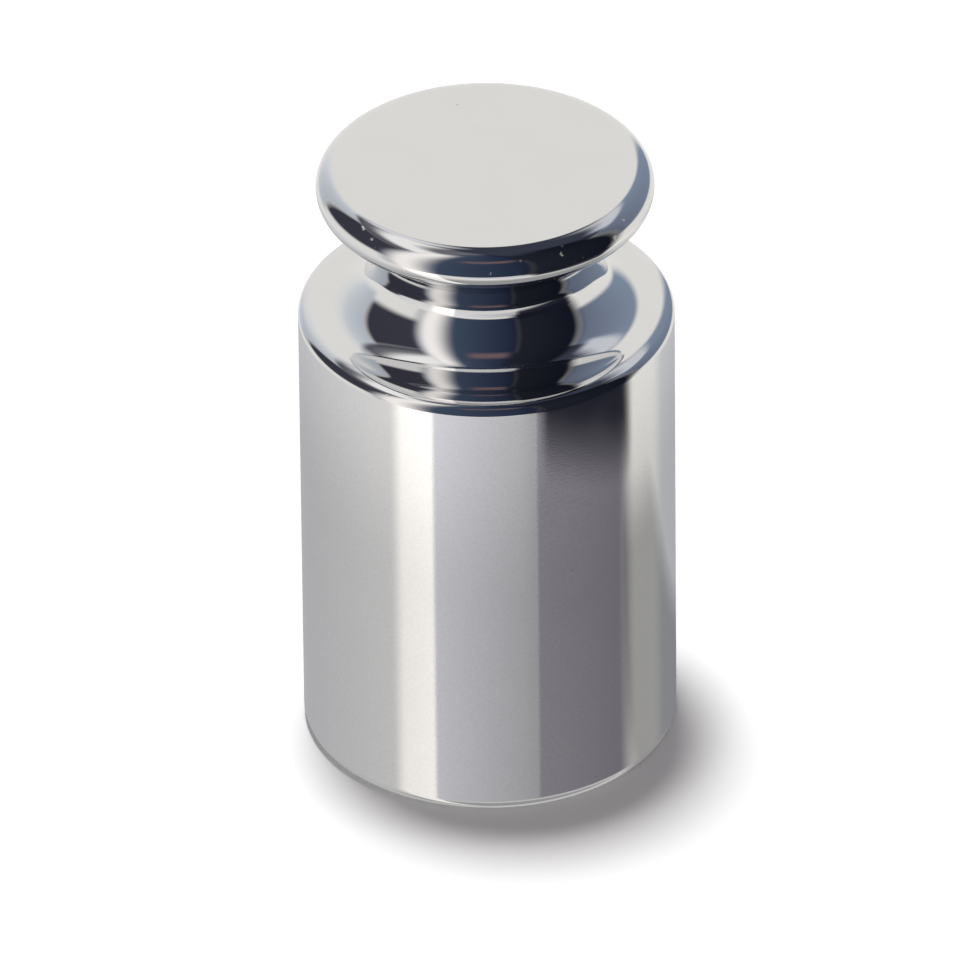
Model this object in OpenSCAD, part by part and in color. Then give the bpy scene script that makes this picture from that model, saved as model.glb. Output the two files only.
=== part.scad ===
// Calibration weight with a lifting knob, turned in one piece from solid stainless steel.
// Its axis is +Z, and the origin is the centre of the flat base.
// Every surface is a flat, a cylinder or an arc turned about the axis, and each meets the next in tangency.

/* [Body] */
// Diameter of the cylindrical body
body_d = 48; // [38:0.5:80]
// Height of the body, from the base to the shoulder
body_h = 62.6; // [12:0.2:120]
// Radius of the gentle arc that rolls the shoulder over towards its edge
shoulder_roll_r = 5.2; // [1.5:0.1:9]
// Slope at which the gentle arc ends, in degrees
shoulder_slope = 23; // [5:1:60]
// Radius of the tighter arc that ends the shoulder in the body's wall
shoulder_edge_r = 1.35; // [0.8:0.05:3]
// Radius of the rounded edge round the base
base_edge_r = 1.7; // [0.3:0.1:5]

/* [Knob] */
// Diameter of the lifting knob, over its rounded rim
knob_d = 43; // [34:0.5:70]
// Height of the knob's flat top above the shoulder
knob_h = 20.65; // [15:0.05:40]
// Radius of the knob's rounded rim
rim_r = 2.8; // [1.5:0.1:5]
// Radius of the slightly gentler arc that rolls the rim over to the flat top
top_roll_r = 3.2; // [2.8:0.1:6]
// Slope at which the gentler arc begins, in degrees
top_slope = 45; // [10:1:80]

/* [Waist] */
// Smallest diameter of the waist, where fingers or a lifting fork go in under the knob
waist_d = 28.4; // [16:0.2:34]
// Height of the narrowest place above the shoulder
waist_h = 7.3; // [4:0.1:10]
// Radius of the lower waist arc, which runs out on the shoulder
foot_arc_r = 6.9; // [2:0.1:6.9]

/* [Hidden] */
$fn = 64;

body_r = body_d / 2;
knob_r = knob_d / 2;
waist_r = waist_d / 2;
total_h = body_h + knob_h;

// Where two arcs that touch from inside join, their centres lie in line with the joint. Each step from the
// tight arc's centre back to the gentle arc's centre follows from that.
shoulder_step = (shoulder_roll_r - shoulder_edge_r) * [sin(shoulder_slope), cos(shoulder_slope)];
top_step = (top_roll_r - rim_r) * [sin(top_slope), cos(top_slope)];

// Centre of the tight arc at the shoulder's edge, in the section.
shoulder_edge = [
    body_r - shoulder_edge_r,
    body_h - shoulder_roll_r + shoulder_step.y
];

// Centre of the rim's arc, in the section.
rim = [
    knob_r - rim_r,
    total_h - top_roll_r + top_step.y
];

// The foot arc runs out before the shoulder begins to roll over.
shoulder_flat_r = shoulder_edge.x - shoulder_step.x;
foot_r = min(foot_arc_r, shoulder_flat_r - waist_r);
waist_z = body_h + max(waist_h, foot_r);

// The throat arc leaves the waist upright and touches the rim's arc from outside. Its radius follows from
// both: the distance between the two centres is the sum of the two radii.
gap = [waist_r - rim.x, rim.y - waist_z];
throat_r = (pow(gap.x, 2) + pow(gap.y, 2) - pow(rim_r, 2)) / (2 * (rim_r - gap.x));

// What a convex arc leaves to be cut away outside a square corner.
module corner_waste(r) {
    difference() {
        square(2 * r);
        circle(r);
    }
}

// A rounded edge of two arcs that touch: a tight one at the side, whose centre is the origin, and a gentle
// one above it, which starts at the given slope and ends level.
module rolled_edge(tight_r, gentle_r, slope, step) {
    circle(tight_r);
    translate(-step)
        intersection() {
            circle(gentle_r);
            polygon([
                [0, 0],
                [2 * gentle_r * sin(slope), 2 * gentle_r * cos(slope)],
                [0, 2 * gentle_r]
            ]);
        }
}

// Half section of the cylindrical body, with its rolled shoulder and its rounded base edge.
module body_section() {
    difference() {
        polygon([
            [0, 0],
            [body_r, 0],
            [body_r, shoulder_edge.y],
            shoulder_edge,
            shoulder_edge - shoulder_step,
            [shoulder_flat_r, body_h],
            [0, body_h]
        ]);
        translate([body_r - base_edge_r, base_edge_r])
            mirror([0, 1])
                corner_waste(base_edge_r);
    }
    translate(shoulder_edge)
        rolled_edge(shoulder_edge_r, shoulder_roll_r, shoulder_slope, shoulder_step);
}

// Half section of the concave waist: the foot arc below its narrowest place and the throat arc above it.
module waist_section() {
    difference() {
        translate([0, body_h])
            square([waist_r + foot_r, waist_z - body_h]);
        translate([waist_r + foot_r, body_h + foot_r])
            circle(foot_r);
        translate([waist_r, body_h + foot_r])
            square([2 * foot_r, waist_z]);
    }
    difference() {
        polygon([
            [0, waist_z],
            [waist_r + throat_r, waist_z],
            rim,
            [0, rim.y]
        ]);
        translate([waist_r + throat_r, waist_z])
            circle(throat_r);
    }
}

// Half section of the knob: a flat top that rolls over into a rounded rim.
module knob_section() {
    polygon([
        [0, rim.y],
        rim,
        rim - top_step,
        [rim.x - top_step.x, total_h],
        [0, total_h]
    ]);
    translate(rim)
        rolled_edge(rim_r, top_roll_r, top_slope, top_step);
}

module weight() {
    color([0.78, 0.79, 0.81])
        rotate_extrude() {
            body_section();
            waist_section();
            knob_section();
        }
}

weight();
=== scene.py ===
"""Studio scene of a one-piece calibration weight with a lifting knob, in polished stainless steel."""
import logging
import math
from dataclasses import dataclass, field
from enum import Enum
from typing import Mapping, Sequence, Union

import bmesh
import bpy
from mathutils import Matrix, Vector


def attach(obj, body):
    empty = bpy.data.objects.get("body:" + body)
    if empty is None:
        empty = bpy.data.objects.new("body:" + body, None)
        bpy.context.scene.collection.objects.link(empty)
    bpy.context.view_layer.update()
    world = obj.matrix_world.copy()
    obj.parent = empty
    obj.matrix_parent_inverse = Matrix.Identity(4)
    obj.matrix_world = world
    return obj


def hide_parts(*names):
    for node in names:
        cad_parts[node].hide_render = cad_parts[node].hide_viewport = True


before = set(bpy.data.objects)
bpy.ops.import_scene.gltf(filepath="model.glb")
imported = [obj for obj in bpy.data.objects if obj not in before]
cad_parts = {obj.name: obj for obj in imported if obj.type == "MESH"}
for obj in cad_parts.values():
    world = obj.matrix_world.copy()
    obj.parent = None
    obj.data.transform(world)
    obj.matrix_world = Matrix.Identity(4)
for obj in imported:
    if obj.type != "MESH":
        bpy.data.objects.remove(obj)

LOG = logging.getLogger("calibration_weight")
MM = 0.001
CIRCLE = 2 * math.pi
RIGHT_ANGLE = math.pi / 2

Colour = tuple[float, float, float]
Span = tuple[float, float]
BLACK: Colour = (0.0, 0.0, 0.0)
WHITE: Colour = (1.0, 1.0, 1.0)
OPAQUE = 1.0
MATRIX_SIZE = 4
MIX_FIRST, MIX_SECOND, MIX_RESULT = 6, 7, 2


class Rays(Enum):
    """The kinds of ray that the studio answers in their own way."""

    CAMERA = "Is Camera Ray"
    GLOSSY = "Is Glossy Ray"
    TRANSMISSION = "Is Transmission Ray"


class Signal:
    """A shader socket that takes part in Python arithmetic."""

    def __init__(self, bench: "NodeBench", socket: bpy.types.NodeSocket) -> None:
        """Wrap one socket.

        Args:
            bench: The node tree's bench, which makes the Math nodes.
            socket: The output socket that carries the value.
        """
        self.bench = bench
        self.socket = socket

    def __add__(self, other: "Term") -> "Signal":
        """Return self + other."""
        return self.bench.math("ADD", self, other)

    def __radd__(self, other: "Term") -> "Signal":
        """Return other + self."""
        return self.bench.math("ADD", other, self)

    def __sub__(self, other: "Term") -> "Signal":
        """Return self - other."""
        return self.bench.math("SUBTRACT", self, other)

    def __rsub__(self, other: "Term") -> "Signal":
        """Return other - self."""
        return self.bench.math("SUBTRACT", other, self)

    def __mul__(self, other: "Term") -> "Signal":
        """Return self * other."""
        return self.bench.math("MULTIPLY", self, other)

    def __rmul__(self, other: "Term") -> "Signal":
        """Return other * self."""
        return self.bench.math("MULTIPLY", other, self)

    def __neg__(self) -> "Signal":
        """Return the value with its sign changed."""
        return self.bench.math("MULTIPLY", self, -1.0)


Term = Union[Signal, int, float]


class NodeBench:
    """Makes and joins the nodes of one shader tree."""

    def __init__(self, tree: bpy.types.NodeTree) -> None:
        """Clear a node tree and work on it.

        Args:
            tree: The tree of a material or of the world.
        """
        self.tree = tree
        self.tree.nodes.clear()

    def node(self, kind: str, settings: Mapping[str, object] | None = None,
             inputs: Mapping[Union[str, int], object] | None = None) -> bpy.types.Node:
        """Add a node.

        Args:
            kind: The node's type name.
            settings: Attributes that are set before the sockets are filled.
            inputs: A value or a Signal for each socket, by its name or its place.

        Returns:
            The new node.
        """
        made = self.tree.nodes.new(kind)
        for name, value in (settings or {}).items():
            setattr(made, name, value)
        for key, value in (inputs or {}).items():
            if isinstance(value, Signal):
                self.tree.links.new(value.socket, made.inputs[key])
            else:
                made.inputs[key].default_value = value
        return made

    def signal(self, made: bpy.types.Node, output: Union[str, int] = 0) -> Signal:
        """Return one output of a node as a Signal."""
        return Signal(self, made.outputs[output])

    def math(self, operation: str, *terms: Term) -> Signal:
        """Add a Math node over one, two or three terms and return its result."""
        made = self.node("ShaderNodeMath", {"operation": operation}, dict(enumerate(terms)))
        return self.signal(made)

    def rise(self, value: Term, low: float, high: float) -> Signal:
        """Return a smooth step that goes from 0 at low to 1 at high."""
        made = self.node("ShaderNodeMapRange", {"interpolation_type": "SMOOTHSTEP"},
                         {"Value": value, "From Min": low, "From Max": high})
        return self.signal(made)

    def ramp(self, value: Term, low: float, high: float) -> Signal:
        """Return a straight ramp that goes from 0 at low to 1 at high and stays there."""
        made = self.node("ShaderNodeMapRange", {"interpolation_type": "LINEAR", "clamp": True},
                         {"Value": value, "From Min": low, "From Max": high})
        return self.signal(made)

    def blend(self, factor: Term, first: object, second: object) -> Signal:
        """Mix two colours.

        Args:
            factor: How much of the second colour shows.
            first: The colour at 0, as a Signal or as three numbers.
            second: The colour at 1, as a Signal or as three numbers.

        Returns:
            The mixed colour.
        """
        under, over = (one if isinstance(one, Signal) else (*one, OPAQUE) for one in (first, second))
        made = self.node("ShaderNodeMix", {"data_type": "RGBA"},
                         {"Factor": factor, MIX_FIRST: under, MIX_SECOND: over})
        return self.signal(made, MIX_RESULT)

    def window(self, value: Term, low: float, high: float, low_soft: float,
               high_soft: float) -> Signal:
        """Return 1 between low and high and 0 outside, with a soft edge at either end.

        Args:
            value: What is compared with the two ends.
            low: The middle of the lower edge.
            high: The middle of the upper edge.
            low_soft: Half the width of the lower edge.
            high_soft: Half the width of the upper edge.

        Returns:
            How far the value lies inside.
        """
        inside = self.rise(value, low - low_soft, low + low_soft)
        return inside * (1 - self.rise(value, high - high_soft, high + high_soft))

    def noise(self, vector: object, scale: float, detail: float = 2.0) -> Signal:
        """Return a noise value between 0 and 1 over a vector."""
        made = self.node("ShaderNodeTexNoise", None,
                         {"Vector": vector, "Scale": scale, "Detail": detail})
        return self.signal(made, "Fac")


@dataclass(frozen=True)
class PolishedSteel:
    """Stainless steel polished to a mirror, with the faint traces of turning, wiping and handling."""

    colour: Colour = (0.80, 0.80, 0.81)
    wiped_colour: Colour = (0.77, 0.77, 0.77)
    # the nicks' pale cream is partly a painted glint, brighter and warmer than the steel itself
    nick_glint_colour: Colour = (0.95, 0.91, 0.82)
    pit_colour: Colour = (0.30, 0.29, 0.30)
    speck_colour: Colour = (0.62, 0.61, 0.62)
    roughness: float = 0.030
    hazy_roughness: float = 0.070
    wall_roughness: float = 0.060
    nick_roughness: float = 0.34
    haze_scale: float = 90.0
    wipe_scale: float = 150.0
    grain_scale: float = 4200.0
    line_scale: float = 5200.0
    nick_scale: float = 760.0
    pit_scale: float = 420.0
    nick_size: Span = (0.06, 0.24)
    pit_size: Span = (0.030, 0.060)
    nick_share: float = 0.60
    pit_share: float = 0.972
    share_soft: float = 0.008
    wall_r: float = 23.6 * MM
    wall_top: float = 61.0 * MM
    shoulder_r: Span = (21.9 * MM, 22.7 * MM)
    rim_r: Span = (19.0 * MM, 20.2 * MM)
    knob_bottom: float = 75.0 * MM
    fade: float = 0.4 * MM
    patchy_noise: Span = (0.50, 0.60)
    haze_noise: Span = (0.45, 0.75)
    wiped_detail: float = 4.0
    fine_detail: float = 3.0
    speck_scale: float = 2600.0
    speck_detail: float = 1.0
    speck_depth: float = 0.45
    speck_share: Span = (0.3, 0.7)
    grain_height: Span = (0.25, 1.60)
    line_height: Span = (0.15, 0.60)
    nick_height: float = 4.0
    pit_height: float = 2.0
    bump_distance: float = 0.0012 * MM
    nick_bare: float = 0.4
    ragged_scale: float = 2.2
    ragged: float = 0.9

    def dots(self, bench: NodeBench, place: Signal, scale: float, size: Span,
             share: float) -> Signal:
        """Return small scattered dots, one in each of a few cells.

        Args:
            bench: The material's bench.
            place: The point on the steel.
            scale: Cells in a metre.
            size: The dot's solid radius and its outer radius, as parts of a cell.
            share: The part of the cells that stays empty.

        Returns:
            One inside a dot and zero elsewhere.
        """
        ragged = bench.node("ShaderNodeTexNoise", None,
                            {"Vector": place, "Scale": scale * self.ragged_scale})
        shaken = bench.node("ShaderNodeVectorMath", {"operation": "MULTIPLY_ADD"},
                            {0: bench.signal(ragged, "Color"), 1: (self.ragged / scale,) * 3,
                             2: place})
        cells = bench.node("ShaderNodeTexVoronoi", {"feature": "F1"},
                           {"Vector": bench.signal(shaken), "Scale": scale})
        draw = bench.node("ShaderNodeSeparateXYZ", None, {0: bench.signal(cells, "Color")})
        near = 1 - bench.rise(bench.signal(cells, "Distance"), *size)
        return near * bench.rise(bench.signal(draw), share, share + self.share_soft)

    @staticmethod
    def more_on(wall: Signal, amounts: Span) -> Signal:
        """Return the first amount everywhere, with the second added to it on the wall."""
        everywhere, added = amounts
        return everywhere + wall * added

    def material(self, name: str) -> bpy.types.Material:
        """Build the node material.

        Args:
            name: The material's name.

        Returns:
            The finished material.
        """
        made = bpy.data.materials.new(name)
        made.use_nodes = True
        bench = NodeBench(made.node_tree)
        place = bench.signal(bench.node("ShaderNodeTexCoord"), "Object")
        parts = bench.node("ShaderNodeSeparateXYZ", None, {"Vector": place})
        x, y, z = (bench.signal(parts, axis) for axis in "XYZ")
        away = bench.math("SQRT", x * x + y * y)
        wall = bench.rise(away, self.wall_r, self.wall_r + self.fade)
        wall = wall * (1 - bench.rise(z, self.wall_top - self.fade, self.wall_top + self.fade))
        above = bench.rise(z, self.wall_top, self.wall_top + self.fade)
        knob = bench.rise(z, self.knob_bottom, self.knob_bottom + self.fade)
        edges = bench.rise(away, *self.shoulder_r) * above
        edges = bench.math("MAXIMUM", edges, bench.rise(away, *self.rim_r) * knob)
        patchy = bench.rise(bench.noise(place, self.wipe_scale), *self.patchy_noise)
        nicks_and_glints = self.dots(bench, place, self.nick_scale, self.nick_size, self.nick_share)
        nicks_and_glints = nicks_and_glints * edges * patchy
        pits = self.dots(bench, place, self.pit_scale, self.pit_size, self.pit_share)
        haze = bench.rise(bench.noise(place, self.haze_scale), *self.haze_noise)
        wiped = bench.noise(place, self.wipe_scale, self.wiped_detail)
        grain = bench.noise(place, self.grain_scale, self.fine_detail)
        along = bench.node("ShaderNodeCombineXYZ", None, {"Z": z})
        lines = bench.noise(bench.signal(along), self.line_scale, self.fine_detail)
        specks = bench.noise(place, self.speck_scale, self.speck_detail)
        specks = specks * self.more_on(wall, self.speck_share)

        tone = bench.blend(wiped, self.colour, self.wiped_colour)
        tone = bench.blend(specks * self.speck_depth, tone, self.speck_colour)
        tone = bench.blend(pits, tone, self.pit_colour)
        # the nicks are real wear in bump and roughness; their pale cream tone is a painted glint
        tone = bench.blend(nicks_and_glints, tone, self.nick_glint_colour)
        roughness = self.roughness + haze * (self.hazy_roughness - self.roughness)
        roughness = roughness + wall * (self.wall_roughness - self.roughness)
        roughness = bench.math("MAXIMUM", roughness, nicks_and_glints * self.nick_roughness)
        height = grain * self.more_on(wall, self.grain_height)
        height = height + lines * self.more_on(wall, self.line_height)
        height = height - nicks_and_glints * self.nick_height - pits * self.pit_height
        bump = bench.node("ShaderNodeBump", None,
                          {"Height": height, "Strength": 1.0, "Distance": self.bump_distance})
        shader = bench.node("ShaderNodeBsdfPrincipled", None,
                            {"Base Color": tone, "Metallic": 1 - nicks_and_glints * self.nick_bare,
                             "Roughness": roughness, "Normal": bench.signal(bump)})
        bench.node("ShaderNodeOutputMaterial", None, {"Surface": bench.signal(shader)})
        return made


@dataclass(frozen=True)
class FloorPaint:
    """A plain pale floor that shows pure white where nothing shades it."""

    colour: Colour = (0.95, 0.95, 0.95)
    lift: float = 0.05

    def material(self, name: str) -> bpy.types.Material:
        """Build the floor's material.

        Args:
            name: The material's name.

        Returns:
            The finished material.
        """
        made = bpy.data.materials.new(name)
        made.use_nodes = True
        bench = NodeBench(made.node_tree)
        light_path = bench.node("ShaderNodeLightPath")
        seen = bench.signal(light_path, Rays.CAMERA.value)
        matt = bench.node("ShaderNodeBsdfDiffuse", None, {"Color": (*self.colour, OPAQUE)})
        lift = bench.blend(seen, BLACK, (self.lift,) * 3)
        glow = bench.node("ShaderNodeEmission", None, {"Color": lift, "Strength": 1.0})
        both = bench.node("ShaderNodeAddShader", None,
                          {0: bench.signal(matt), 1: bench.signal(glow)})
        bench.node("ShaderNodeOutputMaterial", None, {"Surface": bench.signal(both)})
        return made


@dataclass
class TurnedWeight:
    """The weight: a cylindrical body, a concave waist and a lifting knob, turned in one piece."""

    body_r: float = 24.0 * MM
    body_h: float = 62.6 * MM
    shoulder_roll_r: float = 5.2 * MM
    shoulder_slope: float = math.radians(23.0)
    shoulder_edge_r: float = 1.35 * MM
    base_edge_r: float = 1.7 * MM
    knob_r: float = 21.5 * MM
    knob_h: float = 20.65 * MM
    rim_r: float = 2.8 * MM
    top_roll_r: float = 3.2 * MM
    top_slope: float = math.radians(45.0)
    waist_r: float = 14.2 * MM
    waist_h: float = 7.3 * MM
    foot_arc_r: float = 6.9 * MM
    support: float = 0.06 * MM
    arc_step: float = math.radians(3.0)
    least_steps: int = 2
    turn_steps: int = 288
    same_point: float = 0.0001 * MM
    bench: bmesh.types.BMesh = field(default_factory=bmesh.new)

    def __post_init__(self) -> None:
        """Work out the centres of the arcs from the sizes.

        Where two arcs touch from inside, their centres lie in line with the joint. The throat arc
        leaves the waist upright and touches the rim's arc from outside.
        """
        self.top_z = self.body_h + self.knob_h
        self.shoulder_step = self.step(self.shoulder_roll_r, self.shoulder_edge_r,
                                       self.shoulder_slope)
        self.top_step = self.step(self.top_roll_r, self.rim_r, self.top_slope)
        self.edge = Vector((self.body_r - self.shoulder_edge_r,
                            self.body_h - self.shoulder_roll_r + self.shoulder_step.y))
        self.rim = Vector((self.knob_r - self.rim_r,
                           self.top_z - self.top_roll_r + self.top_step.y))
        self.foot_z = self.body_h + self.foot_arc_r
        self.waist_z = self.body_h + self.waist_h
        gap = Vector((self.waist_r - self.rim.x, self.rim.y - self.waist_z))
        self.throat_r = (gap.length_squared - self.rim_r ** 2) / (2 * (self.rim_r - gap.x))
        self.throat_x = self.waist_r + self.throat_r
        self.touch = math.atan2(gap.y, self.rim.x - self.throat_x)

    @staticmethod
    def step(gentle_r: float, tight_r: float, slope: float) -> Vector:
        """Return the way from a gentle arc's centre to that of the tight arc that it joins."""
        return (gentle_r - tight_r) * Vector((math.sin(slope), math.cos(slope)))

    def line(self, end: bmesh.types.BMVert, x: float, z: float) -> bmesh.types.BMVert:
        """Draw a straight stretch of the section.

        Args:
            end: The vertex that the stretch starts from.
            x: Distance of its far end from the axis.
            z: Height of its far end.

        Returns:
            The vertex at the far end.
        """
        grown = bmesh.ops.extrude_vert_indiv(self.bench, verts=[end])
        far = grown["verts"][0]
        far.co = Vector((x, 0.0, z))
        return far

    def arc(self, end: bmesh.types.BMVert, x: float, z: float, sweep: float) -> bmesh.types.BMVert:
        """Draw an arc of the section.

        Args:
            end: The vertex that the arc starts from.
            x: Distance of the arc's centre from the axis.
            z: Height of the arc's centre.
            sweep: The angle that it turns through, in radians, counter-clockwise.

        Returns:
            The vertex at the arc's far end.
        """
        steps = max(self.least_steps, round(abs(sweep) / self.arc_step))
        swept = bmesh.ops.spin(self.bench, geom=[end], cent=(x, 0.0, z), axis=(0.0, -1.0, 0.0),
                               angle=sweep, steps=steps)
        return next(part for part in swept["geom_last"] if isinstance(part, bmesh.types.BMVert))

    def draw_section(self) -> None:
        """Draw half of the section, from the centre of the base round to the centre of the top."""
        near = self.support
        base_x, foot_x = self.body_r - self.base_edge_r, self.waist_r + self.foot_arc_r
        roll, top_roll = self.edge - self.shoulder_step, self.rim - self.top_step
        end = self.bench.verts.new((0.0, 0.0, 0.0))
        end = self.line(end, base_x - near, 0.0)
        end = self.line(end, base_x, 0.0)
        end = self.arc(end, base_x, self.base_edge_r, RIGHT_ANGLE)
        end = self.line(end, self.body_r, self.base_edge_r + near)
        end = self.line(end, self.body_r, self.edge.y - near)
        end = self.line(end, self.body_r, self.edge.y)
        end = self.arc(end, *self.edge, RIGHT_ANGLE - self.shoulder_slope)
        end = self.arc(end, *roll, self.shoulder_slope)
        end = self.line(end, foot_x, self.body_h)
        end = self.arc(end, foot_x, self.foot_z, -RIGHT_ANGLE)
        end = self.line(end, self.waist_r, self.waist_z)
        end = self.arc(end, self.throat_x, self.waist_z, self.touch - math.pi)
        end = self.arc(end, *self.rim, math.pi + self.top_slope - self.touch)
        end = self.arc(end, *top_roll, RIGHT_ANGLE - self.top_slope)
        end = self.line(end, top_roll.x - near, self.top_z)
        self.line(end, 0.0, self.top_z)

    def build(self) -> bpy.types.Object:
        """Turn the section about the axis into a closed mesh.

        Returns:
            The finished piece, smooth all over.
        """
        self.draw_section()
        bmesh.ops.spin(self.bench, geom=self.bench.verts[:] + self.bench.edges[:], cent=(0, 0, 0),
                       axis=(0, 0, 1), angle=CIRCLE, steps=self.turn_steps, use_merge=True)
        bmesh.ops.remove_doubles(self.bench, verts=self.bench.verts[:], dist=self.same_point)
        bmesh.ops.recalc_face_normals(self.bench, faces=self.bench.faces[:])
        for face in self.bench.faces:
            face.smooth = True
        mesh = bpy.data.meshes.new("turned_weight")
        self.bench.to_mesh(mesh)
        self.bench.free()
        made = bpy.data.objects.new("turned_weight", mesh)
        bpy.context.scene.collection.objects.link(made)
        return made

    def dress(self, made: bpy.types.Object) -> None:
        """Give the piece its finish and set it in place of its solid."""
        made.data.materials.append(PolishedSteel().material("polished_steel"))
        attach(made, "root")
        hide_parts("weight")


@dataclass(frozen=True)
class Card:
    """One soft-edged patch of the studio round the object, as the steel sees it.

    Azimuths are in degrees from the side that faces the camera, positive to the right, and
    elevations are in degrees above the horizon. The colour runs from one side to the other.
    """

    name: str
    left: float
    right: float
    low: float
    high: float
    colour: Colour
    far_colour: Colour | None = None
    left_soft: float = 4.0
    right_soft: float = 4.0
    low_soft: float = 4.0
    high_soft: float = 4.0

    def mask(self, bench: NodeBench, azimuth: Signal, elevation: Signal) -> Signal:
        """Return how much of the card shows in each direction."""
        across = bench.window(azimuth, self.left, self.right, self.left_soft, self.right_soft)
        upward = bench.window(elevation, self.low, self.high, self.low_soft, self.high_soft)
        return across * upward

    def lay(self, bench: NodeBench, below: object, azimuth: Signal, elevation: Signal) -> Signal:
        """Lay the card over what is already there.

        Args:
            bench: The world's bench.
            below: The colour of the studio so far.
            azimuth: The direction's azimuth in degrees.
            elevation: The direction's elevation in degrees.

        Returns:
            The studio's colour with this card in it.
        """
        paint: object = self.colour
        if self.far_colour is not None:
            paint = bench.blend(bench.ramp(azimuth, self.left, self.right), self.colour,
                                self.far_colour)
        return bench.blend(self.mask(bench, azimuth, elevation), below, paint)


WHITE_WALL: Colour = (0.88, 0.87, 0.84)
NEAR_BLACK: Colour = (0.010, 0.012, 0.022)

CARDS: tuple[Card, ...] = (
    Card("haze, left", -154, -126, -15, 60, (0.70, 0.74, 0.78), (0.50, 0.55, 0.60),
         left_soft=10, right_soft=5, low_soft=6),
    Card("haze, right", 92, 160, -7, 52, (0.15, 0.18, 0.25), (0.25, 0.31, 0.41),
         left_soft=7, right_soft=4, low_soft=4, high_soft=3.5),
    # painted shadow: this grey, seen steeply below the foot, stands for the weight's contact shadow
    # on the table as the steel reflects it
    Card("table, painted shadow under the foot", -100, 100, -200, -50, (0.50, 0.50, 0.50), left_soft=12,
         right_soft=12, low_soft=1, high_soft=6),
    Card("table, left", -200, -60, -62, -30, (0.56, 0.57, 0.61), (0.90, 0.89, 0.87),
         left_soft=1, low_soft=10, high_soft=2.0),
    Card("table, middle", -34, 30, -37, -32, (0.87, 0.87, 0.92), (0.53, 0.53, 0.54),
         left_soft=1, right_soft=1, low_soft=1.5, high_soft=1.0),
    Card("table, far right", 120, 200, -37, -31, (0.78, 0.78, 0.79), (0.48, 0.51, 0.56),
         right_soft=1, low_soft=1.5, high_soft=1.5),
    Card("table, right", 92, 129, -37, -31, (1.00, 0.99, 0.92), (0.96, 0.95, 0.92), left_soft=3,
         right_soft=8, low_soft=1.5, high_soft=1.5),
    Card("table, dark", 30, 95, -37, -31, (0.36, 0.34, 0.38), (0.26, 0.24, 0.275),
         left_soft=1, right_soft=8, low_soft=1.5, high_soft=1.5),
    Card("ceiling", -200, 200, 46, 200, (0.045, 0.050, 0.075), high_soft=1, low_soft=1.8),
    Card("ceiling, left", -150, -10, 48, 90, (0.17, 0.17, 0.19), left_soft=14, right_soft=10,
         high_soft=8),
    Card("left dark", -125, -58, -5, 47, (0.045, 0.045, 0.065), (0.05, 0.05, 0.07),
         left_soft=5, right_soft=6, low_soft=6, high_soft=4),
    Card("camera side", -67, 34, -29.5, 200, (0.08, 0.11, 0.17), (0.012, 0.018, 0.045),
         left_soft=10, right_soft=8, low_soft=1.2, high_soft=1),
    Card("right dark", 26, 94, -33, 74, (0.018, 0.020, 0.030), (0.006, 0.008, 0.015),
         left_soft=8, right_soft=9, low_soft=1.0, high_soft=9),
    Card("camera side, brown", -18, 22, 45, 55, (0.18, 0.12, 0.13), left_soft=8, right_soft=8),
    Card("streak, right", 110, 160, 42, 54, (0.63, 0.66, 0.73), (0.70, 0.71, 0.74), left_soft=8,
         right_soft=8, low_soft=2.5, high_soft=5),
    Card("strip light, low", -58.5, -34, -200, -31, (1.42, 1.37, 1.30), (1.60, 1.54, 1.46),
         left_soft=5, right_soft=1.5, high_soft=1.5),
    Card("strip light, high", -65, -42, -31, 72, (0.98, 0.95, 0.93), (1.22, 1.16, 1.10),
         left_soft=8, right_soft=13, low_soft=1.5, high_soft=8),
    Card("strip light, back", -174, -152, 46, 61, (0.82, 0.82, 0.86), left_soft=4,
         right_soft=10, low_soft=3, high_soft=6),
    Card("strip light, overhead", -158, -60, 55, 70, (1.00, 0.99, 0.97), left_soft=8,
         right_soft=9, low_soft=4, high_soft=5),
)


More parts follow.
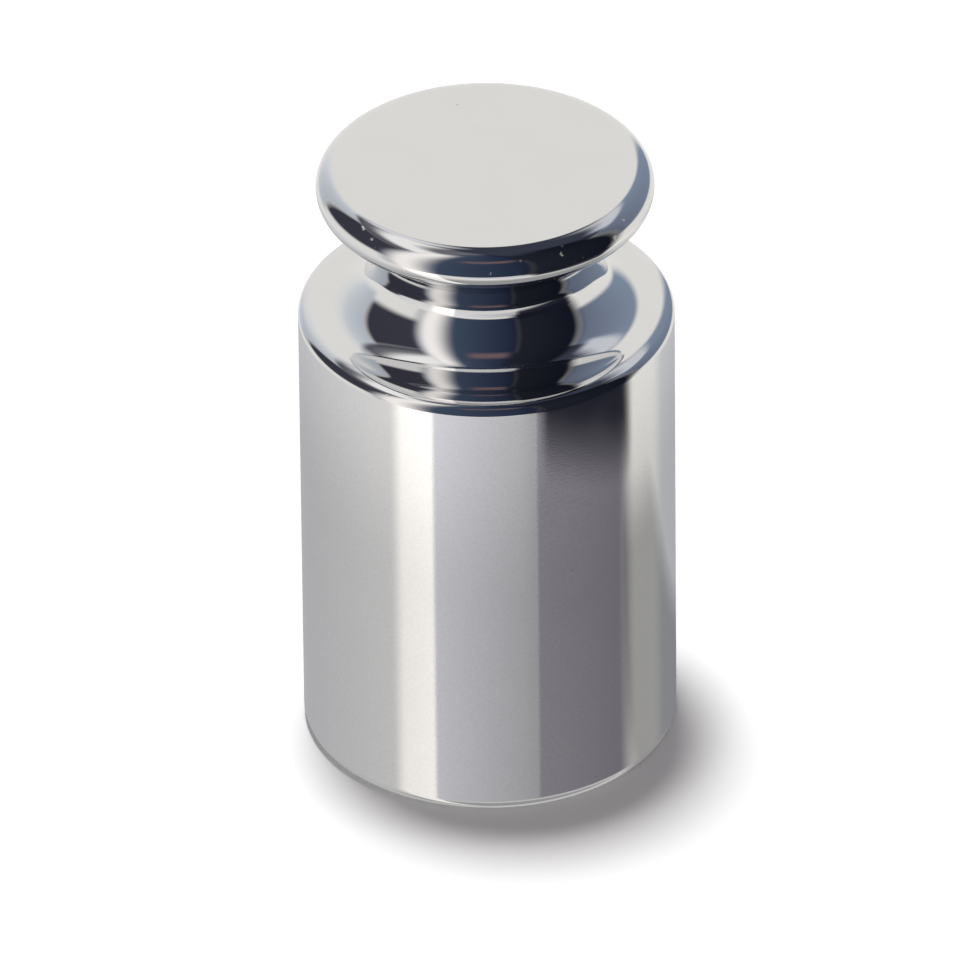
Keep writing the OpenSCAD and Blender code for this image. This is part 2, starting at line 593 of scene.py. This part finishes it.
@dataclass(frozen=True)
class FloorShade:
    """Dark patches of the table round the weight, which only the steel sees.

    One patch lies in front and to the right, away from the foot, so it shows in the upper part of the
    wall and fades downwards. The other two are painted shadow: the weight's own shadow on the table,
    laid all round the foot and beside it on the right, and they show lower down.
    """

    near: float = 112.5 * MM
    far: float = 175.0 * MM
    soft: float = 13.0 * MM
    skew: float = 0.25 * MM
    left: float = 30.5
    right: float = 87.0
    left_soft: float = 4.0
    right_soft: float = 5.0
    colour: Colour = NEAR_BLACK
    strength: float = 0.97
    foot_shadow_strength: float = 0.27
    foot_shadow_away: Span = (70.0 * MM, 122.0 * MM)
    side_shadow_strength: float = 0.60
    side_shadow_x: Span = (0.0 * MM, 10.0 * MM)
    side_shadow_front: Span = (-20.0 * MM, -13.0 * MM)
    side_shadow_back: Span = (15.0 * MM, 40.0 * MM)
    side_shadow_away: Span = (68.0 * MM, 100.0 * MM)
    height: float = -0.4 * MM
    segments: int = 64

    def material(self, name: str) -> bpy.types.Material:
        """Build the patch's material, clear outside its edges.

        Args:
            name: The material's name.

        Returns:
            The finished material.
        """
        made = bpy.data.materials.new(name)
        made.use_nodes = True
        bench = NodeBench(made.node_tree)
        place = bench.signal(bench.node("ShaderNodeTexCoord"), "Object")
        parts = bench.node("ShaderNodeSeparateXYZ", None, {"Vector": place})
        x, y = (bench.signal(parts, axis) for axis in "XY")
        bearing = bench.math("DEGREES", bench.math("ARCTAN2", x, -y))
        away = bench.math("SQRT", x * x + y * y)
        skewed = away + bearing * self.skew
        mask = bench.rise(skewed, self.near - self.soft, self.near + self.soft)
        mask = mask * bench.window(bearing, self.left, self.right, self.left_soft, self.right_soft)
        # painted shadow of the weight on the table all round the foot, which the steel reflects
        foot = self.foot_shadow_strength * (1 - bench.rise(away, *self.foot_shadow_away))
        # painted shadow of the weight on the table beside the foot on the right, which the steel
        # reflects
        side = bench.rise(y, *self.side_shadow_front) * bench.rise(x, *self.side_shadow_x)
        side = side * (1 - bench.rise(y, *self.side_shadow_back))
        side = side * self.side_shadow_strength * (1 - bench.rise(away, *self.side_shadow_away))
        mask = bench.math("MAXIMUM", mask * self.strength, foot)
        mask = bench.math("MAXIMUM", mask, side)
        dark = bench.node("ShaderNodeEmission", None, {"Color": (*self.colour, OPAQUE)})
        clear = bench.node("ShaderNodeBsdfTransparent")
        both = bench.node("ShaderNodeMixShader", None,
                          {0: mask, 1: bench.signal(clear), 2: bench.signal(dark)})
        bench.node("ShaderNodeOutputMaterial", None, {"Surface": bench.signal(both)})
        return made

    def build(self) -> None:
        """Lay the patch just under the floor's level, unseen by anything but reflections."""
        sheet = bmesh.new()
        bmesh.ops.create_circle(sheet, cap_ends=True, segments=self.segments, radius=self.far)
        mesh = bpy.data.meshes.new("floor_shade")
        sheet.to_mesh(mesh)
        sheet.free()
        made = bpy.data.objects.new("floor_shade", mesh)
        made.location.z = self.height
        mesh.materials.append(self.material("floor_shade"))
        made.visible_camera = made.visible_diffuse = made.visible_shadow = False
        bpy.context.scene.collection.objects.link(made)


@dataclass(frozen=True)
class Lamp:
    """One soft area lamp, with its place and its width in metres and its power in watts."""

    name: str
    place: tuple[float, float, float]
    size: float
    power: float


@dataclass
class Studio:
    """The floor, the lamps and the surroundings."""

    floor_half: float = 6.0
    fill: Colour = (0.175, 0.158, 0.163)
    lamps: tuple[Lamp, ...] = (
        Lamp("key", (-0.056, 0.120, 1.00), 0.18, 8.7),
        Lamp("fill", (0.30, -0.90, 1.60), 1.20, 2.5),
    )

    def lay_floor(self) -> None:
        """Lay a plain floor that the steel doesn't see, because its cards stand for it."""
        sheet = bmesh.new()
        bmesh.ops.create_grid(sheet, x_segments=1, y_segments=1, size=self.floor_half)
        mesh = bpy.data.meshes.new("floor")
        sheet.to_mesh(mesh)
        sheet.free()
        floor = bpy.data.objects.new("floor", mesh)
        bpy.context.scene.collection.objects.link(floor)
        mesh.materials.append(FloorPaint().material("floor_paint"))
        floor.visible_glossy = False

    def hang_lamps(self) -> None:
        """Hang the lamps, aimed at the object and hidden from the steel."""
        for lamp in self.lamps:
            light = bpy.data.lights.new(lamp.name, "AREA")
            light.shape = "DISK"
            light.size = lamp.size
            light.energy = lamp.power
            made = bpy.data.objects.new(lamp.name, light)
            made.location = lamp.place
            made.rotation_euler = Vector(lamp.place).to_track_quat("Z", "Y").to_euler()
            made.visible_glossy = False
            bpy.context.scene.collection.objects.link(made)

    def surround(self) -> None:
        """Paint the surroundings: white to the camera, cards to the steel, even to all else."""
        world = bpy.data.worlds.new("studio")
        bpy.context.scene.world = world
        world.use_nodes = True
        bench = NodeBench(world.node_tree)
        toward = bench.signal(bench.node("ShaderNodeTexCoord"), "Generated")
        parts = bench.node("ShaderNodeSeparateXYZ", None, {"Vector": toward})
        x, y, z = (bench.signal(parts, axis) for axis in "XYZ")
        azimuth = bench.math("DEGREES", bench.math("ARCTAN2", x, -y))
        elevation = bench.math("DEGREES", bench.math("ARCSINE", z))
        seen: object = WHITE_WALL
        for card in CARDS:
            seen = card.lay(bench, seen, azimuth, elevation)
        path = bench.node("ShaderNodeLightPath")
        mirrored = bench.math("MAXIMUM", bench.signal(path, Rays.GLOSSY.value),
                              bench.signal(path, Rays.TRANSMISSION.value))
        seen = bench.blend(mirrored, self.fill, seen)
        seen = bench.blend(bench.signal(path, Rays.CAMERA.value), seen, WHITE)
        shader = bench.node("ShaderNodeBackground", None, {"Color": seen})
        bench.node("ShaderNodeOutputWorld", None, {"Surface": bench.signal(shader)})

    def build(self) -> None:
        """Set up the whole studio."""
        self.lay_floor()
        FloorShade().build()
        self.hang_lamps()
        self.surround()


@dataclass(frozen=True)
class ViewCamera:
    """A long-lens camera that looks down on the weight from the front.

    Its height is counted from the shoulder, and the lens and the sensor are in millimetres.
    """

    shoulder_z: float = 62.6 * MM
    distance: float = 2.7448
    elevation: float = math.radians(33.49)
    pitch: float = math.radians(33.964)
    yaw: float = math.radians(0.0258)
    roll: float = math.radians(0.593)
    lens: float = 808.26
    sensor: float = 36.0
    near: float = 0.1
    far: float = 100.0

    def place(self) -> None:
        """Create the camera and make it the scene's."""
        camera = bpy.data.cameras.new("view")
        camera.sensor_width = self.sensor
        camera.lens = self.lens
        camera.clip_start, camera.clip_end = self.near, self.far
        made = bpy.data.objects.new("view", camera)
        eye = Vector((0.0, -self.distance * math.cos(self.elevation),
                      self.shoulder_z + self.distance * math.sin(self.elevation)))
        made.matrix_world = (Matrix.Translation(eye) @ Matrix.Rotation(self.yaw, MATRIX_SIZE, "Z")
                             @ Matrix.Rotation(RIGHT_ANGLE - self.pitch, MATRIX_SIZE, "X")
                             @ Matrix.Rotation(-self.roll, MATRIX_SIZE, "Z"))
        bpy.context.scene.collection.objects.link(made)
        bpy.context.scene.camera = made


def main() -> None:
    """Build the scene, piece by piece."""
    logging.basicConfig(level=logging.INFO, format="%(name)s: %(message)s")
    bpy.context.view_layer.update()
    bpy.context.scene.view_settings.view_transform = "Standard"
    ViewCamera().place()
    Studio().build()
    weight = TurnedWeight()
    made = weight.build()
    weight.dress(made)
    LOG.info("%s: %d faces", made.name, len(made.data.polygons))


if __name__ == "__main__":
    main()
